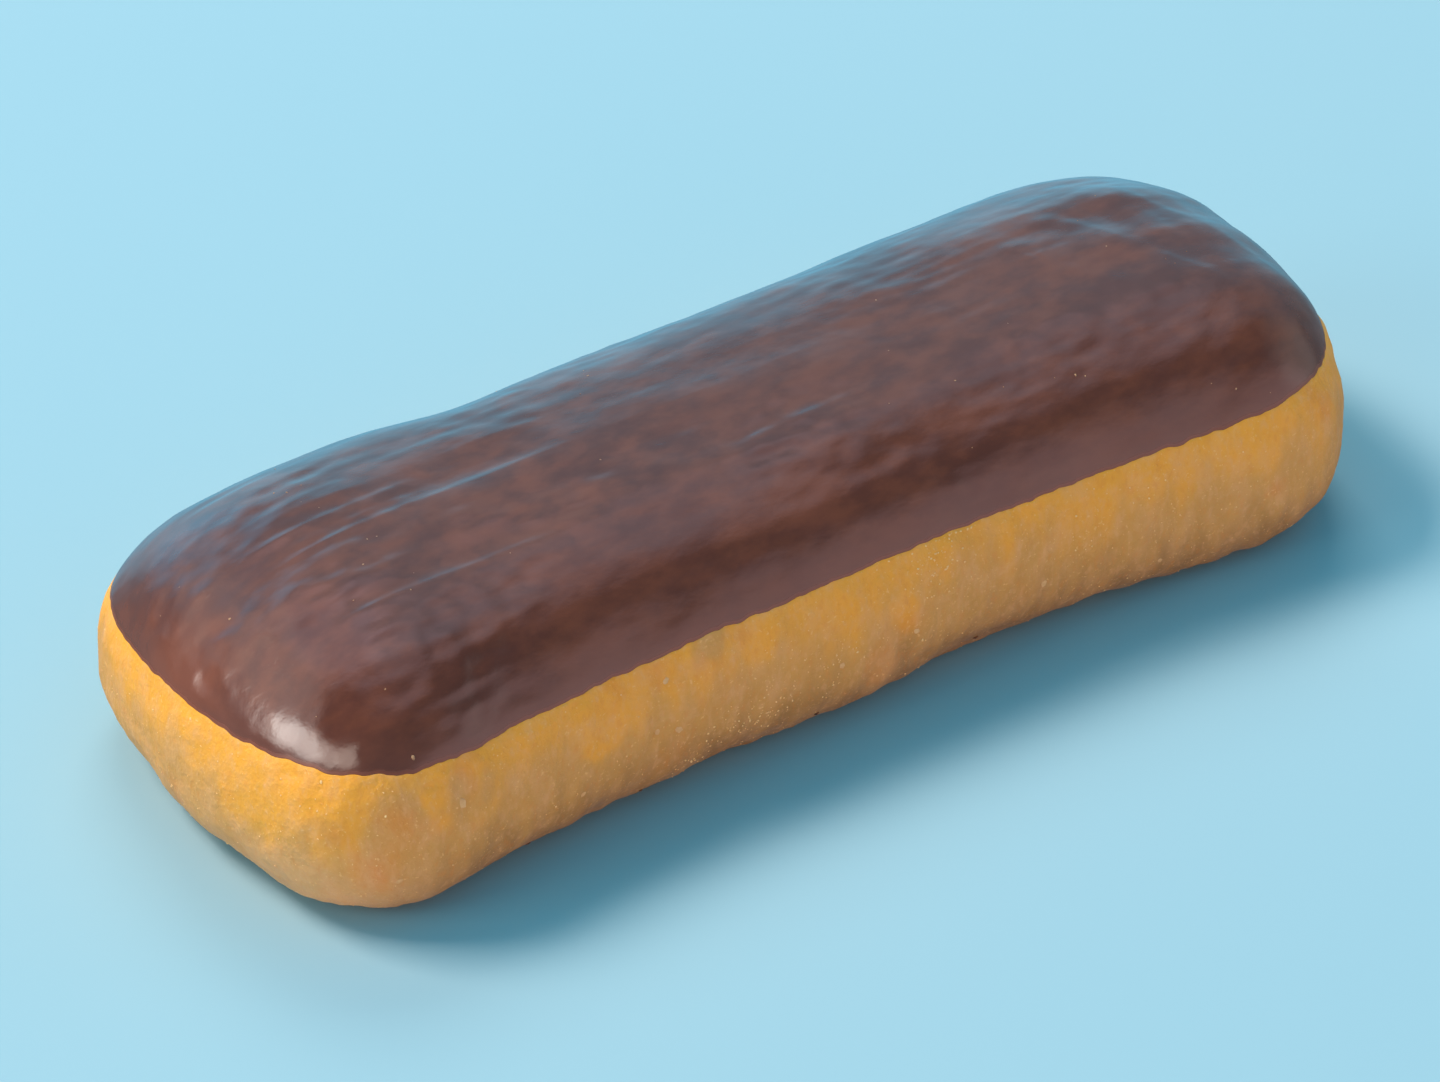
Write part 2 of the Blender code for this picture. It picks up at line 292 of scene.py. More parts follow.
icingForm = {
    "around": 880,
    "lipRings": 6,
    "openRings": 98,
    "hiddenRings": 5,
    "thickness": 0.0011,
    "bead": (0.00002, 0.0012, 0.0014),  # height, way above the edge and half width
    "gap": 0.0003,
    "rimGap": 0.05,  # share of the gap that is left at the rim
    "gapFade": 0.002,
    "lipWidth": 0.0016,
    "ridges": (0.0001, (0.009, 0.017), (84.0, 96.0)),
    "ripples": (0.00008, (0.014, 0.034), (-50.0, 50.0)),
    "fade": 0.0038,  # way above the edge over which the waves start
    "calm": ((-0.0765, -0.0165, 0.0245), 0.013, 0.9),  # place, radius and share of waves lost
    "leftFade": (-0.022, 0.055),  # where the streaks start to lose height, and over how far
    "leftLoss": 0.75,
    "patchSize": (0.024, 0.012, 0.02),
    "driftSize": 0.035,  # slow sideways wander of the streaks
    "drift": 0.0016,
    "streakSize": (0.03, 0.0036, 0.0036),  # long low streaks left by the spreading
    "streakHeight": 0.00028,
    "fineSize": (0.008, 0.0018, 0.0018),
    "fineHeight": 0.000056,
    "blotchSize": (0.0034, 0.0024, 0.0024),  # small bumps in rows between the streaks
    "blotchHeight": 0.000072,
    "endSize": (0.017, 0.0062),  # waves parallel to the rim of the right end
    "endHeight": 0.00018,
    "endCentre": 0.045,
    "endRadius": 0.022,
    "endFade": (0.034, 0.02),
    "gentleSide": 3.5,  # how much wider a single ridge is on its gentle side
    "singleFade": 0.25,  # share of a single ridge that fades at each end
    # start and end in plan, sideways bend, half width and height of single ridges, in mm, each
    # one steep on the left of its way from start to end and gentle on the right
    "singles": (
        (-70.0, 1.2, -23.0, 1.0, 0.4, 0.8, 0.22),
        (-70.0, 6.0, -43.5, 5.8, -0.4, 0.7, 0.2),
        (-68.0, -11.7, -32.5, -12.0, 0.3, 0.7, 0.2),
        (-74.0, -5.8, -60.0, -11.6, 0.2, 0.9, 0.09),
        (-75.0, 13.7, -64.0, 12.8, 0.4, 0.8, 0.11),
        (-66.0, 8.8, -50.0, 8.4, 0.1, 0.7, 0.08),
        (-56.0, -3.2, -38.0, -3.0, 0.2, 0.7, 0.1),
        (-52.0, -16.0, -36.0, -15.8, 0.2, 0.8, 0.07),
        (-47.0, 11.8, -30.0, 11.2, 0.2, 0.8, 0.09),
        (-56.0, 17.2, -44.5, 14.2, 0.0, 0.9, 0.09),
        (-48.0, -6.0, -31.0, -6.6, 0.0, 0.6, 0.06),
        (-62.0, 11.0, -50.0, 10.4, 0.2, 0.7, 0.06),
        (-64.0, -7.2, -50.0, -6.2, 0.2, 0.7, 0.08),
        (-60.0, 3.0, -42.0, 3.2, 0.1, 0.6, 0.07),
        (-40.0, 8.0, -23.0, 7.6, 0.2, 0.7, 0.09),
        (-38.0, -9.0, -20.0, -9.4, 0.2, 0.7, 0.07),
        (-20.0, 5.0, -8.0, 4.6, 0.2, 0.8, 0.06),
        (-10.0, 10.0, 2.0, 9.4, 0.1, 0.8, 0.05),
        (-24.0, -4.0, -9.0, -4.6, 0.2, 0.7, 0.04),
        (60.0, 14.0, 74.5, -19.0, 0.9, 1.5, 0.16),
        (57.0, -5.0, 64.0, -16.0, 0.6, 1.2, 0.11),
        (51.5, 7.0, 56.5, -3.0, 0.6, 1.2, 0.1),
        (38.0, 9.6, 52.0, 9.2, 0.6, 1.3, 0.08),
        (36.0, 2.0, 47.0, 0.4, 0.4, 1.2, 0.06),
    ),
    "pits": (  # place, radius and depth
        ((0.03, -0.0262, 0.0262), 0.0007, 0.00045),
        ((0.0328, -0.0262, 0.0265), 0.0005, 0.00035),
    ),
}


def edgeLevel(around):
    # level at which the icing ends, from its height at the stations, with small scallops
    x, side = plan(around)
    belly = barForm["bellyHeight"]
    height = betweenSides(barForm["nearEdgeHeight"], barForm["farEdgeHeight"], x, side)
    rise = (height - belly) / (along(barForm["height"], x) - belly)
    place = np.stack([x, side * barForm["nominalHalfWidth"], 0.0 * x], axis=-1)
    scallop = doughForm["scallop"] * layeredNoise(place, 0.0095, 11, layers=3)
    scallop = scallop + doughForm["nick"] * layeredNoise(place, 0.0023, 17)
    return (np.interp(rise, riseOfWay, way) + scallop) / wayUp


def overEdge(around, level):
    # way up the profile from the edge of the icing
    return (level - edgeLevel(around)) * wayUp


def bellRound(point, place, radius, power=2):
    # exp(-(distance / radius)^power) round a place
    distance = np.linalg.norm(point - np.asarray(place), axis=-1)
    return np.exp(-((distance / radius) ** power))


def inMetres(rows):
    return np.array(rows) / 1000.0


def lumps(point):
    # a bell of its own height round each place
    rows = inMetres(doughForm["lumps"])
    return sum(row[4] * bellRound(point, row[:3], row[3]) for row in rows)


def calmed(point):
    # share of the waves that is left round the smooth corner of the icing
    place, radius, share = icingForm["calm"]
    return 1.0 - share * bellRound(point, place, radius, 4)


def creases(point):
    # each one a height times exp(-(distance / width)^2), for the distance from a straight line
    total = 0.0
    for row in inMetres(doughForm["creases"]):
        start, end, (width, height) = row[:3], row[3:6], row[6:]
        run = end - start
        share = np.clip((point - start) @ run / (run @ run), 0.0, 1.0)
        distance = np.linalg.norm(point - start - share[..., None] * run, axis=-1)
        total = total + height * np.exp(-((distance / width) ** 2))
    return total


def doughSkin(point, over):
    # upright dents, wrinkles in patches and strongest on the near side, pimples, flat scales
    # and single creases, all fading out under the icing
    form = doughForm
    dents = form["uprightHeight"] * layeredNoise(point, form["uprightSize"], 21)
    wrinkles = form["wrinkleHeight"] * layeredNoise(point, form["wrinkleSize"], 25)
    patch = smoothStep(gradientNoise(point, form["wrinklePatch"], 29) * 1.2 + 0.5)
    pimples = np.clip(gradientNoise(point, form["pimpleSize"], 31) - 0.15, 0.0, 1.0)
    scales = smoothStep(gradientNoise(point, form["scaleSize"], 33) / 0.22 + 0.5)
    nearness = fadeIn(-point[..., 1], *form["nearSide"])
    relief = dents + wrinkles * (0.4 + patch) * (0.4 + 0.9 * nearness)
    relief = relief + form["pimpleHeight"] * pimples + form["scaleHeight"] * scales
    return (relief + creases(point)) * smoothStep(-over / form["skinFade"])


def doughRelief(point, over):
    # soft folds, single lumps and dents, and the skin's own relief
    form, z = doughForm, point[..., 2]
    folds = waves(point, *form["folds"], np.random.default_rng(31))
    folds = folds * smoothStep(z / form["foldFoot"]) * (1.0 - smoothStep(over / form["foldFade"]))
    skin = doughSkin(point, over) * smoothStep(z / form["skinFoot"])
    return lumps(point) * smoothStep(z / form["lumpFoot"]) + folds * calmed(point) + skin


def doughSurface(around, level):
    # the bar with its relief, sunk under the icing by the icing's thickness and gap
    point, over = bar(around, level), overEdge(around, level)
    below, above = doughForm["seatBelowEdge"], doughForm["seatAboveEdge"]
    sunk = smoothStep((over + below) / (below + above))
    offset = doughRelief(point, over) - (icingForm["thickness"] + icingForm["gap"]) * sunk
    return point + outward(around, level) * offset[..., None]


def icingUnderside(around, level):
    # nearly touches the dough at the rim and clears it by the gap further in
    rim, over = icingForm["rimGap"], overEdge(around, level)
    gap = icingForm["gap"] * (rim + (1.0 - rim) * smoothStep(over / icingForm["gapFade"]))
    return doughSurface(around, level) + outward(around, level) * gap[..., None]


def singleRidges(point):
    # exp(-(distance / width)^2) across each line, wider on its gentle side and fading to
    # nothing at its ends
    total, gentle, fade = 0.0, icingForm["gentleSide"], icingForm["singleFade"]
    for row in inMetres(icingForm["singles"]):
        start, end, (bend, width, height) = row[:2], row[2:4], row[4:]
        run = end - start
        length = np.linalg.norm(run)
        unit = run / length
        fromStart = point[..., :2] - start
        share = fromStart @ unit / length
        aside = fromStart @ np.array([-unit[1], unit[0]]) - bend * 4.0 * share * (1.0 - share)
        across = np.exp(-((aside / np.where(aside > 0.0, width, gentle * width)) ** 2))
        ends = smoothStep(share / fade) * smoothStep((1.0 - share) / fade)
        total = total + height * across * ends
    return total


def endBands(point):
    # noise over the turn and radius round a centre inside the right end, so that its bands
    # run along the rim
    x, y = point[..., 0] - icingForm["endCentre"], point[..., 1]
    turn, radius = np.arctan2(y, x), np.hypot(x, y)
    long, short = icingForm["endSize"]
    rimwise = [turn * icingForm["endRadius"] / long, radius / short, 0.0 * turn]
    rimwise = np.stack(rimwise, axis=-1)
    bands = gradientNoise(rimwise, 1.0, 57) + 0.3 * gradientNoise(rimwise * 2.1, 1.0, 58)
    return icingForm["endHeight"] * bands * fadeIn(point[..., 0], *icingForm["endFade"])


def icingWaves(point):
    # ridges and ripples left by the spreading, creased and fine streaks with small bumps
    # between them, stronger in patches and on the left, the end's bands and the single ridges
    form, calm = icingForm, calmed(point)
    rng = np.random.default_rng(32)
    total = (waves(point, *form["ridges"], rng) + waves(point, *form["ripples"], rng)) * calm
    leftShare = 1.0 - form["leftLoss"] * fadeIn(point[..., 0], *form["leftFade"])
    patch = 0.3 + smoothStep(gradientNoise(point, form["patchSize"], 43) + 0.5)
    drift = form["drift"] * gradientNoise(point, form["driftSize"], 44)
    bent = point + drift[..., None] * (0.0, 1.0, 0.0)
    streak = gradientNoise(bent, form["streakSize"], 45)
    creased = 0.5 * streak + 0.6 * (0.3 - np.sqrt(streak ** 2 + 0.01))
    total = total + form["streakHeight"] * creased * leftShare * patch * calm
    fine = form["fineHeight"] * gradientNoise(bent, form["fineSize"], 49)
    total = total + fine * patch * calm
    blotches = form["blotchHeight"] * gradientNoise(bent, form["blotchSize"], 51)
    total = total + blotches * patch * (0.7 + 0.8 * leftShare) * (0.2 + 0.8 * calm)
    return total + endBands(point) + singleRidges(0.6 * point + 0.4 * bent)


def icingSurface(around, level):
    # the bar with the dough's own relief and the icing's waves and pits, brought down to the
    # dough by a quarter sine wave along the lip, which carries a low bead
    form, over = icingForm, overEdge(around, level)
    lip = np.clip(over / form["lipWidth"], 0.0, 1.0)
    below, above = doughForm["seatBelowEdge"], doughForm["seatAboveEdge"]
    depth = (form["thickness"] + form["gap"]) * smoothStep(below / (below + above))
    depth = depth - form["rimGap"] * form["gap"]
    height, middle, width = form["bead"]
    bead = height * np.exp(-(((over - middle) / width) ** 2))
    rise = (depth + bead) * np.sin(lip * np.pi / 2.0) - depth
    point = bar(around, level)
    relief = doughRelief(point, over) + icingWaves(point) * smoothStep(over / form["fade"])
    for place, radius, deep in form["pits"]:
        relief = relief - deep * bellRound(point, place, radius)
    return point + outward(around, level) * (rise + relief)[..., None]


def pieceOf(name, mesh, material):
    mesh.materials.append(material)
    mesh.validate()
    print(name, "made:", len(mesh.vertices), "points")
    piece = bpy.data.objects.new(name, mesh)
    scene.collection.objects.link(piece)
    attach(piece, "root")
    return piece


def closedSkin(name, rings, material, attributes):
    # quads through rings of equal count, each end shut by a strip between its two mirrored halves
    rings = np.asarray(rings)
    rows, count = rings.shape[:2]
    i = np.arange(count)
    j = (i + 1) % count
    base = np.arange(rows - 1)[:, None] * count
    walls = np.stack([base + i, base + j, base + count + j, base + count + i], axis=-1)
    half = np.arange(count // 2)
    strip = np.stack([half, half + 1, (-half - 1) % count, (-half) % count], axis=-1)
    faces = walls.reshape(-1, 4).tolist()
    for offset, step in (((rows - 1) * count, 1), (0, -1)):
        for quad in strip.tolist():
            faces.append([offset + c for c in dict.fromkeys(quad)][::step])
    mesh = bpy.data.meshes.new(name)
    mesh.from_pydata(rings.reshape(-1, 3).tolist(), [], faces)
    mesh.shade_smooth()
    for key, values in attributes.items():
        layer = mesh.attributes.new(key, "FLOAT", "POINT")
        layer.data.foreach_set("value", np.asarray(values, np.float32).ravel())
    return pieceOf(name, mesh, material)


def newMaterial(name):
    made = bpy.data.materials.new(name)
    made.use_nodes = True
    tree = made.node_tree
    shader = tree.nodes["Principled BSDF"]
    coordinate = tree.nodes.new("ShaderNodeTexCoord").outputs["Object"]
    return made, tree, shader, coordinate


def noiseOf(coordinate, scale, stretch=(1.0, 1.0, 1.0), detail=3.0, roughness=0.55):
    # noise on scaled coordinates: a stretch of 0.2 makes it five times as long that way
    tree = coordinate.id_data
    mapping = tree.nodes.new("ShaderNodeMapping")
    mapping.inputs["Scale"].default_value = stretch
    noise = tree.nodes.new("ShaderNodeTexNoise")
    noise.inputs["Scale"].default_value = scale
    noise.inputs["Detail"].default_value = detail
    noise.inputs["Roughness"].default_value = roughness
    tree.links.new(coordinate, mapping.inputs["Vector"])
    tree.links.new(mapping.outputs["Vector"], noise.inputs["Vector"])
    return noise.outputs["Fac"]


def between(value, low, high, toLow=0.0, toHigh=1.0):
    # smooth step of a value from one range to another
    tree = value.id_data
    node = tree.nodes.new("ShaderNodeMapRange")
    node.interpolation_type = "SMOOTHSTEP"
    keys = ("From Min", "From Max", "To Min", "To Max")
    for key, number in zip(keys, (low, high, toLow, toHigh)):
        node.inputs[key].default_value = number
    tree.links.new(value, node.inputs["Value"])
    return node.outputs["Result"]


def mixed(factor, first, second):
    # blend of two colours, each a socket or a colour
    tree = factor.id_data
    node = tree.nodes.new("ShaderNodeMix")
    node.data_type = "RGBA"
    tree.links.new(factor, node.inputs["Factor"])
    for key, colour in (("A", first), ("B", second)):
        socket = next(s for s in node.inputs if s.name == key and s.type == "RGBA")
        if isinstance(colour, tuple):
            socket.default_value = (*colour, 1.0)
        else:
            tree.links.new(colour, socket)
    return next(s for s in node.outputs if s.type == "RGBA")


def tinted(colour, value, low, high, weight, tint):
    # adds up to the weight of a tint as the value goes from low to high
    return mixed(between(value, low, high, 0.0, weight), colour, tint)


def plus(first, second, share=1.0):
    # first + share * second
    tree = first.id_data
    node = tree.nodes.new("ShaderNodeMath")
    node.operation = "MULTIPLY_ADD"
    node.inputs[1].default_value = share
    tree.links.new(second, node.inputs[0])
    tree.links.new(first, node.inputs[2])
    return node.outputs["Value"]


def attributeOf(tree, name):
    node = tree.nodes.new("ShaderNodeAttribute")
    node.attribute_name = name
    return node.outputs["Fac"]


def linked(shader, colour, roughness, grain, bump):
    # colour and roughness as they are, and the grain as bumps of that height
    tree = shader.id_data
    node = tree.nodes.new("ShaderNodeBump")
    node.inputs["Distance"].default_value = bump
    tree.links.new(grain, node.inputs["Height"])
    tree.links.new(colour, shader.inputs["Base Color"])
    tree.links.new(roughness, shader.inputs["Roughness"])
    tree.links.new(node.outputs["Normal"], shader.inputs["Normal"])


doughLook = {
    "golden": (0.87, 0.352, 0.032),
    "tan": (0.64, 0.298, 0.072),
    "pale": (0.8, 0.39, 0.172),
    "amber": (0.72, 0.225, 0.03),
    # brown painted shade for the foot of the shaded near side
    "brown": (0.25, 0.12, 0.035),
    # painted contact shade, darkest where the dough rests on the table
    "restingShade": (0.17, 0.085, 0.034),
    "speck": (0.92, 0.52, 0.2),
    "roughness": (0.46, 0.64),
    "bump": 0.00013,
    "goldenMiddle": 0.8,  # share of the way up to the icing where the golden band is half faded
    "goldenFade": 0.44,
    "footTop": 0.66,  # share of the way up where the foot's colours start, and their fade
    "footFade": 0.52,
    "footWeights": (0.95, 0.85),  # of the brown painted shade and of pale
    "footShadeNear": (0.01, 0.016),  # way out to the near side and along the bar, where the foot turns from pale to the brown painted shade
    "footShadeLeft": (-0.078, 0.02),  # turns from pale to brown
    "patches": (  # place, radius, and how much more golden or paler it is there
        ((-0.08, -0.018, 0.0165), 0.0075, 0.2),
        ((-0.0815, 0.002, 0.015), 0.008, 0.1),
        ((-0.076, -0.0268, 0.011), 0.0045, 0.25),
        ((-0.074, -0.0275, 0.0175), 0.0032, 0.22),
        ((-0.07, -0.0305, 0.016), 0.0034, -0.3),
        ((-0.0658, -0.0311, 0.0185), 0.0022, 0.2),
        ((-0.0655, -0.0311, 0.015), 0.0022, 0.2),
        ((-0.061, -0.0313, 0.017), 0.0035, -0.2),
        ((-0.04, -0.028, 0.0165), 0.004, 0.25),
        ((-0.024, -0.0263, 0.0213), 0.0025, -0.35),
        ((-0.018, -0.027, 0.019), 0.003, 0.15),
        ((0.004, -0.0281, 0.014), 0.003, 0.22),
        ((0.056, -0.0278, 0.02), 0.006, 0.1),
    ),
    "ambers": (  # place, radius and strength of the darker orange patches
        ((-0.073, -0.0296, 0.0098), 0.003, 0.8),
        ((0.0048, -0.0281, 0.013), 0.0022, 0.4),
        ((-0.076, -0.0262, 0.015), 0.002, 0.3),
        ((-0.0705, -0.0303, 0.016), 0.0036, 0.45),
        ((0.0605, -0.03, 0.012), 0.0012, 0.6),
        ((-0.03, -0.0282, 0.008), 0.003, 0.3),
    ),
}


def goldenPart(point, up):
    # the way up, plus upright fringes, broad noise and the placed patches, in a smooth step
    reach = up + 0.1 * gradientNoise(point, (0.0024, 0.0024, 0.024), 71)
    reach = reach + 0.14 * layeredNoise(point, (0.012, 0.012, 0.03), 72)
    uneven = 1.0 + 0.45 * layeredNoise(point, (0.0035, 0.0035, 0.006), 77)
    for place, radius, more in doughLook["patches"]:
        reach = reach + more * bellRound(point, place, radius / uneven, 3)
    return smoothStep((reach - doughLook["goldenMiddle"]) / doughLook["goldenFade"] + 0.5)


def footParts(point, up):
    # smooth step down towards the foot, roughened by noise, and shared between brown painted
    # shade on the shaded near side and pale on the others
    look = doughLook
    rough = 0.1 * layeredNoise(point, (0.003, 0.003, 0.008), 73)
    nearness = fadeIn(-point[..., 1], *look["footShadeNear"])
    nearness = nearness * fadeIn(point[..., 0], *look["footShadeLeft"])
    step = smoothStep((look["footTop"] - up - rough) / look["footFade"])
    brown, pale = look["footWeights"]
    return brown * step * nearness, pale * step * (1.0 - nearness)


def amberPart(point):
    # a bell of its own strength round each place, roughened by noise
    bells = (strength * bellRound(point, *where) for *where, strength in doughLook["ambers"])
    rough = 1.0 + 0.5 * gradientNoise(point, (0.0022, 0.0022, 0.004), 75)
    return np.clip(sum(bells) * rough, 0.0, 1.0)


def doughMaterial(look):
    # tan with a golden band under the icing, pale and amber spots and freckles all over, the
    # foot's pale colour, and painted shade: a brown foot on the near side, darkest where it rests
    made, tree, shader, coordinate = newMaterial("friedDough")
    up = attributeOf(tree, "wayUpShare")
    fringe = noiseOf(coordinate, 420.0, (1.0, 1.0, 0.22), 3.0, 0.6)
    mottle = noiseOf(coordinate, 330.0, (1.0, 1.0, 0.7))
    broad = noiseOf(coordinate, 62.0, (1.0, 1.0, 0.55))
    spots = noiseOf(coordinate, 115.0, (1.0, 1.0, 0.6))
    fine = noiseOf(coordinate, 1250.0, (1.0, 1.0, 0.5), 2.0)
    freckle = noiseOf(coordinate, 2300.0, detail=1.0)
    ragged = plus(attributeOf(tree, "goldenShare"), fringe, 0.5)
    colour = mixed(between(ragged, 0.18, 1.25), look["tan"], look["golden"])
    colour = tinted(colour, plus(up, broad, -0.5), 0.3, -0.05, 0.45, look["pale"])
    colour = tinted(colour, spots, 0.56, 0.74, 0.45, look["amber"])
    colour = mixed(attributeOf(tree, "amberShare"), colour, look["amber"])
    colour = tinted(colour, mottle, 0.4, 0.75, 0.35, look["pale"])
    colour = mixed(attributeOf(tree, "paleFootShare"), colour, look["pale"])
    # painted shade: the foot turns brown on the shaded near side
    colour = mixed(attributeOf(tree, "nearFootShadeShare"), colour, look["brown"])
    # painted contact shade: darkens the lowest band of the dough, where it rests on the table
    colour = tinted(colour, up, 0.12, 0.01, 0.75, look["restingShade"])
    colour = tinted(colour, fine, 0.5, 0.74, 0.3, look["pale"])
    colour = tinted(colour, fine, 0.46, 0.28, 0.22, look["amber"])
    colour = tinted(colour, freckle, 0.64, 0.76, 0.45, look["speck"])
    shine = noiseOf(coordinate, 260.0, (1.0, 1.0, 0.6))
    roughness = between(shine, 0.3, 0.7, *look["roughness"])
    grain = plus(noiseOf(coordinate, 1100.0), freckle, 0.5)
    linked(shader, colour, roughness, plus(grain, mottle, 1.6), look["bump"])
    shader.inputs["Subsurface Weight"].default_value = 0.12
    shader.inputs["Subsurface Radius"].default_value = (0.9, 0.45, 0.15)
    shader.inputs["Subsurface Scale"].default_value = 0.0018
    return made


bitLook = {  # two colours that the bits fade between, and their middle roughness
    "paleGrain": ((0.92, 0.52, 0.2), (0.95, 0.6, 0.27), 0.45),
    "looseCrust": ((0.68, 0.34, 0.13), (0.76, 0.42, 0.18), 0.55),
    "darkCrumb": ((0.06, 0.02, 0.008), (0.16, 0.055, 0.018), 0.6),
    "paleSpeck": ((0.28, 0.11, 0.05), (0.5, 0.28, 0.15), 0.5),
}


def bitMaterial(name):
    # crumbs and specks: one colour fading into another from bit to bit
    made, _, shader, coordinate = newMaterial(name)
    low, high, middle = bitLook[name]
    tone = noiseOf(coordinate, 900.0, detail=2.0)
    colour = mixed(between(tone, 0.35, 0.65), low, high)
    roughness = between(tone, 0.2, 0.8, middle - 0.08, middle + 0.08)
    grain = noiseOf(coordinate, 3000.0, detail=2.0)
    linked(shader, colour, roughness, grain, 0.00002)
    return made


icingLook = {
    "dark": (0.086, 0.024, 0.014),
    "rust": (0.145, 0.041, 0.02),
    "rim": (0.125, 0.041, 0.026),
    "thin": (0.2, 0.052, 0.022),
    "thinPlace": ((-0.0806, 0.001, 0.0218), 0.0075),  # where the left end shows redder
    "rustWeight": 0.24,
    "rustSize": (0.0054, 0.0026, 0.0034),
    "rustFades": ((-0.072, 0.016), (0.004, -0.036), (-0.02, 0.008)),  # left, right and near side
    "roughness": (0.11, 0.21),
    "dryRim": 0.2,  # added to the roughness at the rim
    "bump": 0.00004,
    "gloss": 1.75,  # index of refraction
}


def thinPart(point):
    # a bell round the thin place, roughened by noise
    rough = 1.0 + 0.8 * layeredNoise(point, (0.006, 0.006, 0.004), 79)
    return np.clip(bellRound(point, *icingLook["thinPlace"]) * rough, 0.0, 1.0)


def rustPart(point):
    # smooth step of noise stretched along the bar, over the left part of the top
    noise = layeredNoise(point, icingLook["rustSize"], 83)
    left, right, near = icingLook["rustFades"]
    place = fadeIn(point[..., 0], *left) * fadeIn(point[..., 0], *right)
    return fadeIn(noise, -0.05, 0.6) * place * fadeIn(point[..., 1], *near)


def icingMaterial(look):
    # dark brown with rusty streaks along the bar, lighter towards the rim and drier right at it
    made, tree, shader, coordinate = newMaterial("chocolateIcing")
    over = attributeOf(tree, "overEdgeMm")
    streaks = noiseOf(coordinate, 330.0, (0.55, 1.0, 1.0), 3.0, 0.6)
    clouds = noiseOf(coordinate, 70.0, (0.7, 1.0, 1.0))
    tone = between(plus(streaks, clouds), 0.76, 1.32)
    colour = mixed(tone, look["dark"], look["rust"])
    colour = tinted(colour, over, 6.0, 0.3, 0.6, look["rim"])
    rusty = attributeOf(tree, "rustShare")
    colour = tinted(colour, rusty, 0.0, 1.0, look["rustWeight"], look["thin"])
    colour = tinted(colour, attributeOf(tree, "thinShare"), 0.0, 1.0, 0.5, look["thin"])
    colour = tinted(colour, over, 0.7, 0.1, 0.7, look["thin"])
    dull = noiseOf(coordinate, 320.0, (0.35, 1.0, 1.0))
    dryRim = between(over, 0.8, 0.1, 0.0, look["dryRim"])
    roughness = plus(between(dull, 0.3, 0.7, *look["roughness"]), dryRim)
    grain = noiseOf(coordinate, 700.0, (0.6, 1.0, 1.0))
    linked(shader, colour, roughness, grain, look["bump"])
    shader.inputs["IOR"].default_value = look["gloss"]
    return made


def levelsBetween(low, high, shares):
    return [low + (high - low) * share for share in shares]


def makeDough(form):
    # rings over the slightly hollow underside, up from the foot to the icing's edge, and on
    # under the icing
    around = np.arange(form["around"]) / form["around"]
    edge = edgeLevel(around)
    rings, ups = [], []
    footRing = bar(around, 0.0 * around)
    middle = footRing * (form["underLength"], 0.0, 0.0)
    for share in np.linspace(0.06, 1.0, form["footRings"] + 1)[:-1]:
        flat = middle * (1.0 - share) + footRing * share
        uneven = 0.6 + 0.4 * gradientNoise(flat, 0.012, 61)
        flat[:, 2] = form["underDepth"] * (1.0 - share ** 2) * uneven
        rings.append(flat)
        ups.append(np.full(len(around), -0.1))
    levels = levelsBetween(0.0, edge, np.linspace(0.0, 1.0, form["openRings"]))
    hidden = np.linspace(0.0, 1.0, form["hiddenRings"] + 1)[1:]
    for level in levels + levelsBetween(edge, crestLevel, hidden):
        rings.append(doughSurface(around, level))
        ups.append(level / edge)
    rings, ups = np.array(rings), np.array(ups)
    marks = {"wayUpShare": ups, "goldenShare": goldenPart(rings, ups)}
    marks["amberShare"] = amberPart(rings)
    marks["nearFootShadeShare"], marks["paleFootShare"] = footParts(rings, ups)
    material = doughMaterial(doughLook)
    dough = closedSkin("doughBar", rings - planCentre, material, marks)
    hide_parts("dough")


def makeIcing(form):
    # rings along the underside from the crest line out to the edge, round the lip, and over
    # the top back to the crest line
    around = np.arange(form["around"]) / form["around"]
    edge = edgeLevel(around)
    lipTop = edge + form["lipWidth"] / wayUp
    hidden = levelsBetween(edge, crestLevel, np.linspace(1.0, 0.0, form["hiddenRings"] + 1))
    rounding = 1.0 - np.cos(np.linspace(0.0, np.pi / 2, form["lipRings"] + 1))[1:-1]
    outer = levelsBetween(edge, lipTop, rounding)
    outer += levelsBetween(lipTop, crestLevel, np.linspace(0.0, 1.0, form["openRings"]))
    rings = [icingUnderside(around, level) for level in hidden]
    rings = np.array(rings + [icingSurface(around, level) for level in outer])
    overs = [overEdge(around, level) * 1000.0 for level in hidden + outer]
    marks = {"overEdgeMm": overs, "thinShare": thinPart(rings), "rustShare": rustPart(rings)}
    material = icingMaterial(icingLook)
    icing = closedSkin("icingSkin", rings - planCentre, material, marks)
    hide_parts("icing")


makeDough(doughForm)
makeIcing(icingForm)


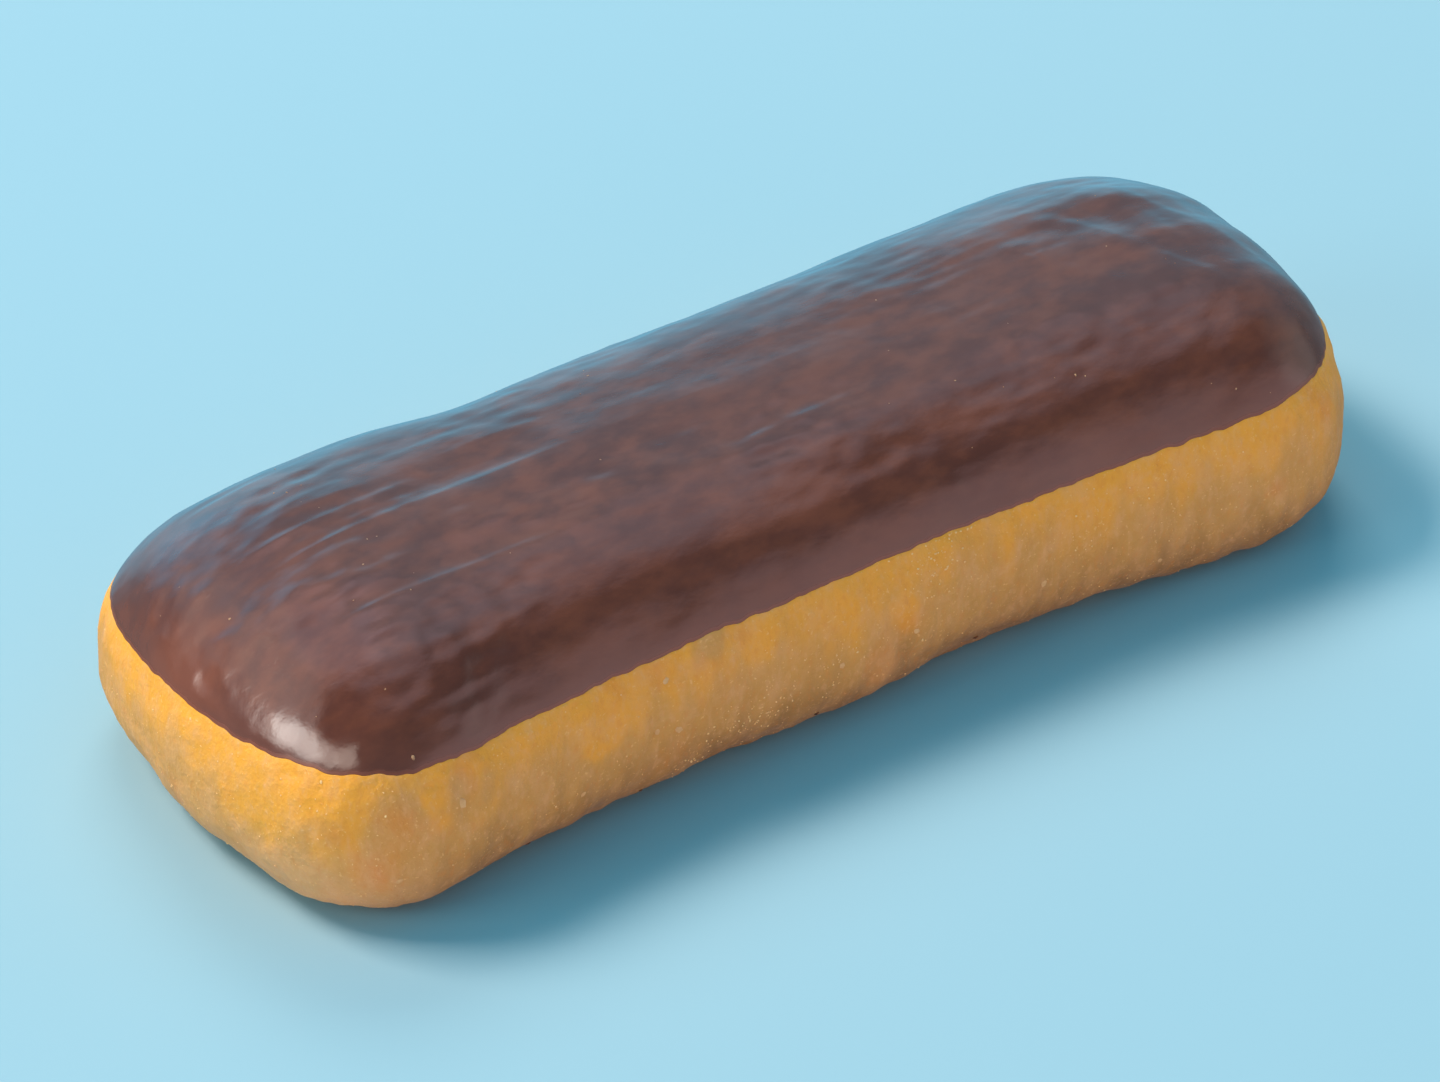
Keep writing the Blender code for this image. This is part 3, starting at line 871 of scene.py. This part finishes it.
bitForm = {
    "grains": 900,  # pale specks of flour and sugar all over the dough
    "grainSize": (0.00004, 0.00011),  # half widths
    "bigGrains": 14,
    "bigSize": (0.00012, 0.00019),
    "clusters": (  # start and end along the bar, share of the way up at each, spread, number
        (0.006, 0.0135, 0.9, 0.95, 0.0016, 46),
        (0.007, 0.011, 0.72, 0.82, 0.002, 26),
        (-0.019, -0.0145, 0.46, 0.52, 0.0016, 40),
        (-0.025, -0.019, 0.42, 0.5, 0.0014, 26),
        (-0.007, -0.004, 0.55, 0.7, 0.0016, 30),
        (-0.03, -0.024, 0.3, 0.36, 0.0012, 22),
        (0.03, 0.038, 0.6, 0.7, 0.003, 14),
    ),
    "flakes": (  # place along the bar, share of the way up and half width
        (-0.0296, 0.6, 0.0005),
        (-0.0324, 0.63, 0.00042),
        (-0.0621, 0.78, 0.0006),
        (0.0059, 0.58, 0.00042),
        (-0.0054, 0.56, 0.00038),
        (-0.0308, 0.88, 0.0004),
        (-0.0437, 0.48, 0.00036),
        (0.0262, 0.52, 0.0004),
        (0.044, 0.4, 0.00036),
        (-0.0705, 0.46, 0.00036),
    ),
    "bareHeight": 0.022,  # of the dough below the icing
    "darkDots": ((-0.0076, 0.26), (-0.0336, 0.25), (0.018, 0.22), (-0.05, 0.2)),
    "dotSize": (0.0002, 0.00036),
    "icingSpecks": 46,
    "speckSize": (0.00005, 0.00011),
    "icingScraps": (  # place on the icing in plan, and half width
        ((0.0369, -0.0175), 0.00013),
        ((0.0378, -0.0182), 0.0001),
        ((-0.0665, -0.0282), 0.00024),
        ((-0.0739, 0.0004), 0.00014),
    ),
}


def scattered(name, spots, sizes, stretch, look, seed):
    # one small stone per spot: a pole, two rings of five and a pole, its corners pushed in
    # and out at random, then stretched along the surface, flattened against it and turned
    rng = np.random.default_rng(seed)
    turn = 2.0 * np.pi * np.arange(5) / 5.0
    upper, lower = (
        np.stack([np.cos(turn + shift), np.sin(turn + shift), 0.0 * turn + height], axis=-1)
        for shift, height in ((0.0, 0.5), (np.pi / 5, -0.5))
    )
    shape = np.concatenate([[(0.0, 0.0, 1.1)], upper, lower, [(0.0, 0.0, -1.1)]])
    i = np.arange(5)
    j = (i + 1) % 5
    fans = (
        (0 * i, 1 + i, 1 + j),
        (1 + i, 6 + i, 1 + j),
        (6 + i, 6 + j, 1 + j),
        (0 * i + 11, 6 + j, 6 + i),
    )
    faces = np.concatenate(fans, axis=1).T
    places, normals = spots
    count = len(places)
    local = shape * rng.uniform(0.72, 1.15, (count, 12, 1)) * stretch * sizes[:, None, None]
    side = np.cross(normals, rng.normal(size=(count, 3)))
    side /= np.linalg.norm(side, axis=-1, keepdims=True)
    axes = np.stack([side, np.cross(normals, side), normals], axis=1)
    corners = np.einsum("nij,njk->nik", local, axes) + places[:, None, :]
    mesh = bpy.data.meshes.new(name)
    offsets = 12 * np.arange(count)[:, None, None]
    mesh.from_pydata(corners.reshape(-1, 3).tolist(), [], (faces + offsets).reshape(-1, 3).tolist())
    pieceOf(name, mesh, bitMaterial(look))


def nearAround(x):
    # share of the way round at which the near side passes a place along the bar
    share = np.linspace(0.5, 1.0, 721)
    return np.interp(x, plan(share)[0], share)


def doughSpots(around, up):
    # places and normals on the dough, up being a share of the way from the foot to the icing
    level = edgeLevel(around) * up
    return doughSurface(around, level) - planCentre, outward(around, level)


def icingSpots(around, up):
    # places and normals on the icing, up being a share of the way from its edge to the crest
    edge = edgeLevel(around)
    level = edge + (crestLevel - edge) * up
    return icingSurface(around, level) - planCentre, outward(around, level)


def makeGrains(form):
    # specks thrown over the dough unevenly round it and up it, plus clusters in slanting lines
    rng = np.random.default_rng(81)
    around = rng.uniform(0.0, 1.0, 3 * form["grains"])
    up = rng.uniform(0.1, 0.97, 3 * form["grains"])
    where, _ = doughSpots(around, up)
    dense = gradientNoise(where, 0.011, 83) + rng.uniform(-0.5, 0.5, len(around))
    chosen = np.argsort(-dense)[: form["grains"] + form["bigGrains"]]
    around, up = around[chosen], up[chosen]
    least, most = form["grainSize"]
    sizes = [least + (most - least) * rng.uniform(0.0, 1.0, form["grains"]) ** 2.0]
    sizes.append(rng.uniform(*form["bigSize"], form["bigGrains"]))
    arounds, ups = [rng.permutation(around)], [up]
    for left, right, lowUp, highUp, spread, number in form["clusters"]:
        share = rng.uniform(0.0, 1.0, number)
        arounds.append(nearAround(left + (right - left) * share + rng.normal(0.0, spread, number)))
        aside = rng.normal(0.0, spread / form["bareHeight"], number)
        ups.append(np.clip(lowUp + (highUp - lowUp) * share + aside, 0.08, 0.985))
        sizes.append(rng.uniform(least, most * 1.25, number))
    spots = doughSpots(np.concatenate(arounds), np.concatenate(ups))
    sizes = np.concatenate(sizes)
    scattered("doughGrains", spots, sizes, (1.0, 1.3, 0.8), "paleGrain", 82)


def makeFlakes(form):
    # thin chips of loose crust that lie flat on the near side
    x, up, sizes = np.array(form["flakes"]).T
    spots = doughSpots(nearAround(x), up)
    scattered("doughFlakes", spots, sizes, (1.0, 1.25, 0.22), "looseCrust", 85)


def makeDots(form):
    # dark burnt crumbs near the foot
    x, up = np.array(form["darkDots"]).T
    spots = doughSpots(nearAround(x), up)
    sizes = np.random.default_rng(86).uniform(*form["dotSize"], len(x))
    scattered("darkCrumbs", spots, sizes, (1.0, 1.4, 0.7), "darkCrumb", 87)


def makeSpecks(form):
    # a few pale specks over the icing, and scraps at the spots nearest their own places
    rng, count = np.random.default_rng(91), form["icingSpecks"]
    around, up = rng.uniform(0.0, 1.0, count), rng.uniform(0.03, 1.0, count)
    sizes = rng.uniform(*form["speckSize"], count)
    x, y = np.array([place for place, _ in form["icingScraps"]]).T
    share, ways = np.meshgrid(np.linspace(0.5, 1.0, 361), np.linspace(0.0, 1.0, 101))
    grid, _ = icingSpots(share, ways)
    nearest = [np.argmin(np.hypot(grid[..., 0] - a, grid[..., 1] - b)) for a, b in zip(x, y)]
    around = np.concatenate([around, share.ravel()[nearest]])
    up = np.concatenate([up, ways.ravel()[nearest]])
    sizes = np.concatenate([sizes, [size for _, size in form["icingScraps"]]])
    spots = icingSpots(around, up)
    scattered("icingSpecks", spots, sizes, (1.0, 1.4, 0.5), "paleSpeck", 92)


makeGrains(bitForm)
makeFlakes(bitForm)
makeDots(bitForm)
makeSpecks(bitForm)


stageLook = {
    "half": 4.0,
    "under": 0.00005,  # how far the table lies below the foot
    "table": (0.318, 0.492, 0.574),
    # name: azimuth and elevation in degrees, width and height, brightness, colour
    "lamps": {
        "keyLamp": (130.6, 50.2, 1.14, 0.95, 30.0, (1.0, 0.81, 0.71)),
        "backLamp": (62.0, 46.0, 1.4, 1.2, 6.2, (1.0, 1.0, 0.95)),
        "leftLamp": (172.0, 26.0, 1.3, 0.8, 5.0, (0.62, 0.98, 1.0)),
        "leftFill": (204.0, 4.0, 1.6, 0.5, 8.0, (1.0, 0.8, 0.84)),
        "frontFill": (268.0, 9.0, 2.6, 0.5, 8.6, (1.0, 0.4, 0.1)),
        "rightFill": (350.0, 5.0, 1.6, 0.5, 6.0, (1.0, 0.7, 0.85)),
    },
    "lampDistance": 3.0,
    "fill": (0.01, 0.4, 0.57),  # air as matt surfaces receive it
    "backdrop": (0.4, 0.72, 0.86),  # air as the camera sees it past the table
    # height above the horizon and colour of the air there, as the gloss reflects it
    "air": (
        (0.0, (0.16, 0.2, 0.24)),
        (0.3, (0.11, 0.14, 0.18)),
        (0.7, (0.12, 0.14, 0.17)),
    ),
    # name: azimuth, elevation, angles where the glow starts to fade and ends, colour
    "glows": {
        "back": (64.0, 30.0, 28.0, 66.0, (0.06, 0.34, 0.5)),
        "backLow": (66.0, -4.0, 14.0, 42.0, (0.0, 0.38, 0.58)),
        "backLeft": (92.0, 20.0, 8.0, 26.0, (0.0, 0.5, 0.84)),
        "overhead": (10.0, 76.0, 8.0, 30.0, (0.52, 0.4, 0.46)),
        "left": (138.0, 38.0, 8.0, 32.0, (0.74, 0.6, 0.6)),
        "leftHigh": (100.0, 66.0, 6.0, 22.0, (0.66, 0.42, 0.46)),
        "leftLow": (140.0, -4.0, 10.0, 36.0, (0.48, 0.22, 0.18)),
        "front": (302.0, 2.0, 14.0, 42.0, (0.86, 0.5, 0.49)),
        "right": (340.0, 16.0, 8.0, 30.0, (0.4, 0.36, 0.34)),
        "cornerSoft": (152.0, 36.0, 6.0, 22.0, (0.6, 0.46, 0.4)),
        "cornerTail": (157.0, 21.0, 4.0, 12.0, (2.6, 2.3, 2.1)),
        "cornerLeft": (170.0, 27.0, 7.0, 17.0, (5.0, 4.7, 4.4)),
        "cornerMiddle": (190.0, 32.0, 6.0, 15.0, (3.0, 2.6, 2.3)),
        "cornerRight": (211.0, 38.0, 4.0, 14.0, (2.7, 2.2, 1.9)),
    },
}


def skyward(azimuth, elevation):
    # unit vector to a place in the sky, its azimuth turning anticlockwise from +X
    az, el = math.radians(azimuth), math.radians(elevation)
    return Vector((math.cos(az) * math.cos(el), math.sin(az) * math.cos(el), math.sin(el)))


def addTable(look):
    # a flat sheet just under the foot
    half, z = look["half"], -look["under"]
    mesh = bpy.data.meshes.new("table")
    corners = [(-half, -half, z), (half, -half, z), (half, half, z), (-half, half, z)]
    mesh.from_pydata(corners, [], [(0, 1, 2, 3)])
    made, tree, shader, coordinate = newMaterial("paleTable")
    tint = noiseOf(coordinate, 6.0, detail=2.0)
    darker = tuple(0.985 * c for c in look["table"])
    tree.links.new(mixed(tint, look["table"], darker), shader.inputs["Base Color"])
    shader.inputs["Roughness"].default_value = 0.9
    shader.inputs["Specular IOR Level"].default_value = 0.1
    mesh.materials.append(made)
    table = bpy.data.objects.new("table", mesh)
    table.visible_glossy = False  # the gloss reflects the air alone
    scene.collection.objects.link(table)


def addLamp(name, azimuth, elevation, width, height, brightness, colour):
    # a soft rectangle that faces the bar, unseen by the camera and in the gloss
    toward = skyward(azimuth, elevation)
    data = bpy.data.lights.new(name, "AREA")
    data.shape, data.size, data.size_y, data.color = "RECTANGLE", width, height, colour
    data.energy = brightness * math.pi * width * height
    lamp = bpy.data.objects.new(name, data)
    turned = toward.to_track_quat("Z", "Y").to_matrix().to_4x4()
    lamp.matrix_world = Matrix.Translation(toward * stageLook["lampDistance"]) @ turned
    lamp.visible_glossy, lamp.visible_camera = False, False
    scene.collection.objects.link(lamp)


def addAir(look):
    # an even fill for matt surfaces and a plain backdrop. For gloss, dim air plus soft glows
    # that fade with the angle from their middles.
    world = bpy.data.worlds.new("air")
    world.use_nodes = True
    tree = world.node_tree
    tree.nodes.clear()
    output = tree.nodes.new("ShaderNodeOutputWorld")
    background = tree.nodes.new("ShaderNodeBackground")
    coordinate = tree.nodes.new("ShaderNodeTexCoord").outputs["Generated"]
    split = tree.nodes.new("ShaderNodeSeparateXYZ")
    ramp = tree.nodes.new("ShaderNodeValToRGB")
    for i, (place, colour) in enumerate(look["air"]):
        stop = ramp.color_ramp.elements[i] if i < 2 else ramp.color_ramp.elements.new(place)
        stop.position, stop.color = place, (*colour, 1.0)
    tree.links.new(coordinate, split.inputs["Vector"])
    tree.links.new(split.outputs["Z"], ramp.inputs["Fac"])
    total = ramp.outputs["Color"]
    for azimuth, elevation, inner, outer, colour in look["glows"].values():
        toward = tree.nodes.new("ShaderNodeVectorMath")
        toward.operation = "DOT_PRODUCT"
        toward.inputs[1].default_value = skyward(azimuth, elevation)
        tree.links.new(coordinate, toward.inputs[0])
        start, end = math.cos(math.radians(outer)), math.cos(math.radians(inner))
        share = between(toward.outputs["Value"], start, end)
        glow = mixed(share, (0.0, 0.0, 0.0), colour)
        adding = tree.nodes.new("ShaderNodeVectorMath")
        tree.links.new(total, adding.inputs[0])
        tree.links.new(glow, adding.inputs[1])
        total = adding.outputs["Vector"]
    rays = tree.nodes.new("ShaderNodeLightPath").outputs
    total = mixed(rays["Is Glossy Ray"], look["fill"], total)
    total = mixed(rays["Is Camera Ray"], total, look["backdrop"])
    tree.links.new(total, background.inputs["Color"])
    tree.links.new(background.outputs["Background"], output.inputs["Surface"])
    scene.world = world


addTable(stageLook)
for name, lamp in stageLook["lamps"].items():
    addLamp(name, *lamp)
addAir(stageLook)
print("table and lamps set")
